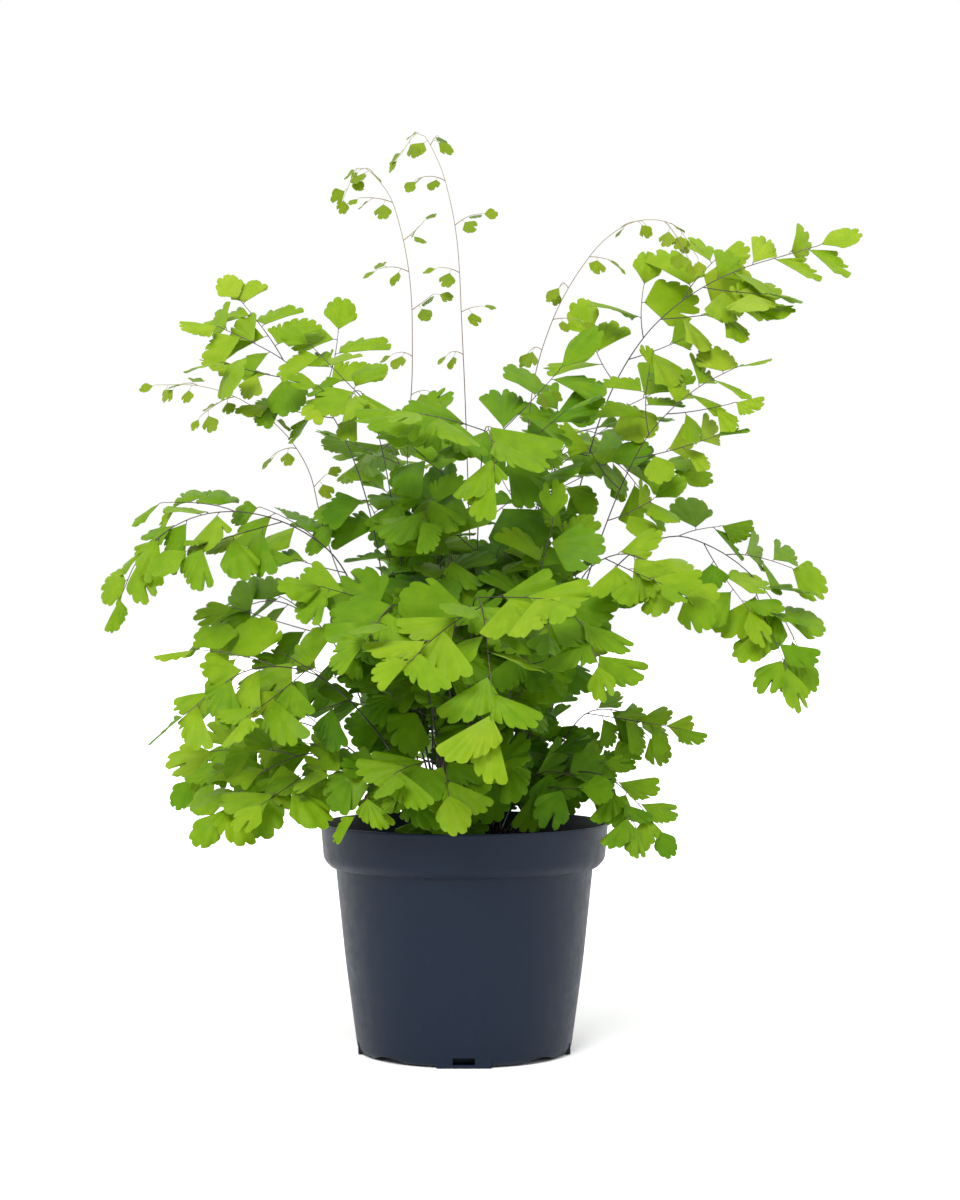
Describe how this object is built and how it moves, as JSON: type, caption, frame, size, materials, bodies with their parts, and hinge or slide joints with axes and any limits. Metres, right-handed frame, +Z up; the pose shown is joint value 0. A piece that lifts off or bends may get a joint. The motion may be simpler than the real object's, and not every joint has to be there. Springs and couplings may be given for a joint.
{
  "type": "potted maidenhair fern",
  "caption": "Live maidenhair fern with arching wiry stems and fan-shaped leaflets, growing in potting mix in a round plastic nursery pot.",
  "frame": {"origin": "middle of the pot's underside, on the surface that the pot stands on", "axes": "+Z up along the pot's axis, +X to the plant's right as seen from its front, -Y towards the front, where the leaves turn to"},
  "size_m": [0.3231, 0.2471, 0.385],
  "materials": {
    "pot_plastic": "satin",
    "potting_mix": "matte",
    "rhizome": "matte",
    "stem": "satin",
    "young_stem": "satin",
    "leaf": "satin",
    "young_leaf": "satin"
  },
  "bodies": {
    "root": {"pot": "pot_plastic", "soil": "potting_mix", "crown": "rhizome", "young_frond_1_stem": "young_stem", "young_frond_1_leaves": "young_leaf", "young_frond_2_stem": "young_stem", "young_frond_2_leaves": "young_leaf", "young_frond_3_stem": "young_stem", "young_frond_3_leaves": "young_leaf", "young_frond_4_stem": "young_stem", "young_frond_4_leaves": "young_leaf", "high_frond_1_stem": "stem", "high_frond_1_leaves": "leaf", "high_frond_2_stem": "stem", "high_frond_2_leaves": "leaf", "high_frond_3_stem": "stem", "high_frond_3_leaves": "leaf", "high_frond_4_stem": "stem", "high_frond_4_leaves": "leaf", "high_frond_5_stem": "stem", "high_frond_5_leaves": "leaf", "high_frond_6_stem": "stem", "high_frond_6_leaves": "leaf", "high_frond_7_stem": "stem", "high_frond_7_leaves": "leaf", "high_frond_8_stem": "stem", "high_frond_8_leaves": "leaf", "wide_frond_1_stem": "stem", "wide_frond_1_leaves": "leaf", "wide_frond_2_stem": "stem", "wide_frond_2_leaves": "leaf", "wide_frond_3_stem": "stem", "wide_frond_3_leaves": "leaf", "wide_frond_4_stem": "stem", "wide_frond_4_leaves": "leaf", "wide_frond_5_stem": "stem", "wide_frond_5_leaves": "leaf", "wide_frond_6_stem": "stem", "wide_frond_6_leaves": "leaf", "wide_frond_7_stem": "stem", "wide_frond_7_leaves": "leaf", "wide_frond_8_stem": "stem", "wide_frond_8_leaves": "leaf", "wide_frond_9_stem": "stem", "wide_frond_9_leaves": "leaf", "low_frond_1_stem": "stem", "low_frond_1_leaves": "leaf", "low_frond_2_stem": "stem", "low_frond_2_leaves": "leaf", "low_frond_3_stem": "stem", "low_frond_3_leaves": "leaf", "low_frond_4_stem": "stem", "low_frond_4_leaves": "leaf", "low_frond_5_stem": "stem", "low_frond_5_leaves": "leaf", "low_frond_6_stem": "stem", "low_frond_6_leaves": "leaf", "low_frond_7_stem": "stem", "low_frond_7_leaves": "leaf"}
  },
  "joints": []
}
